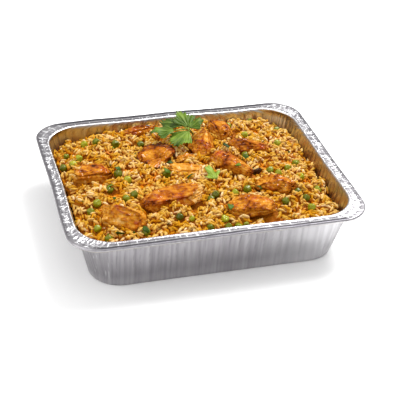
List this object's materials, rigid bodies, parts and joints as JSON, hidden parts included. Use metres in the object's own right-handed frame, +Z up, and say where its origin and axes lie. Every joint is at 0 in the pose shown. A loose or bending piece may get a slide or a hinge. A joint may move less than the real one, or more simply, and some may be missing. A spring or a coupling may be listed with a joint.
{
  "type": "foil tray meal",
  "caption": "Rectangular aluminium foil tray with a flanged, rolled rim and fluted walls, heaped with rice under browned chicken pieces, scattered peas and a herb sprig.",
  "frame": {"origin": "middle of the tray's base, on the surface that the tray stands on", "axes": "+X to the right along the tray's long side, +Y away from its front side, +Z up"},
  "size_m": [0.324, 0.264, 0.0886],
  "materials": {
    "foil": "bright rolled foil with soft creases and an embossed flange",
    "rice": "moist fried long-grain rice, cream to golden yellow, with dark gaps between the grains",
    "chicken": "browned, lightly glazed surface with charred spots and pale cut flesh",
    "pea": "moist green skin, smooth to slightly wrinkled",
    "herb": "fresh leaf with pale veins and a waxy sheen"
  },
  "bodies": {
    "root": {"tray": "foil", "rice": "rice", "chicken_back_left": "chicken", "chicken_folded": "chicken", "chicken_left": "chicken", "chicken_front_left": "chicken", "chicken_long_strip": "chicken", "chicken_small_chip": "chicken", "chicken_flaked": "chicken", "chicken_pointed": "chicken", "chicken_back_middle": "chicken", "chicken_centre_right": "chicken", "chicken_back_right": "chicken", "chicken_right_knobbly": "chicken", "chicken_front_knobbly": "chicken", "chicken_charred_bit": "chicken", "herb_sprig": "herb", "herb_leaf": "herb", "pea_01": "pea", "pea_02": "pea", "pea_03": "pea", "pea_04": "pea", "pea_05": "pea", "pea_06": "pea", "pea_07": "pea", "pea_08": "pea", "pea_09": "pea", "pea_10": "pea", "pea_11": "pea", "pea_12": "pea", "pea_13": "pea", "pea_14": "pea", "pea_15": "pea", "pea_16": "pea", "pea_17": "pea", "pea_18": "pea", "pea_19": "pea", "pea_20": "pea", "pea_21": "pea", "pea_22": "pea", "pea_23": "pea", "pea_24": "pea", "pea_25": "pea", "pea_26": "pea", "pea_27": "pea", "pea_28": "pea", "pea_29": "pea", "pea_30": "pea", "pea_31": "pea", "pea_32": "pea", "pea_33": "pea", "pea_34": "pea", "pea_35": "pea", "pea_36": "pea", "pea_37": "pea", "pea_38": "pea", "pea_39": "pea", "pea_40": "pea", "pea_41": "pea", "pea_42": "pea"}
  },
  "joints": []
}
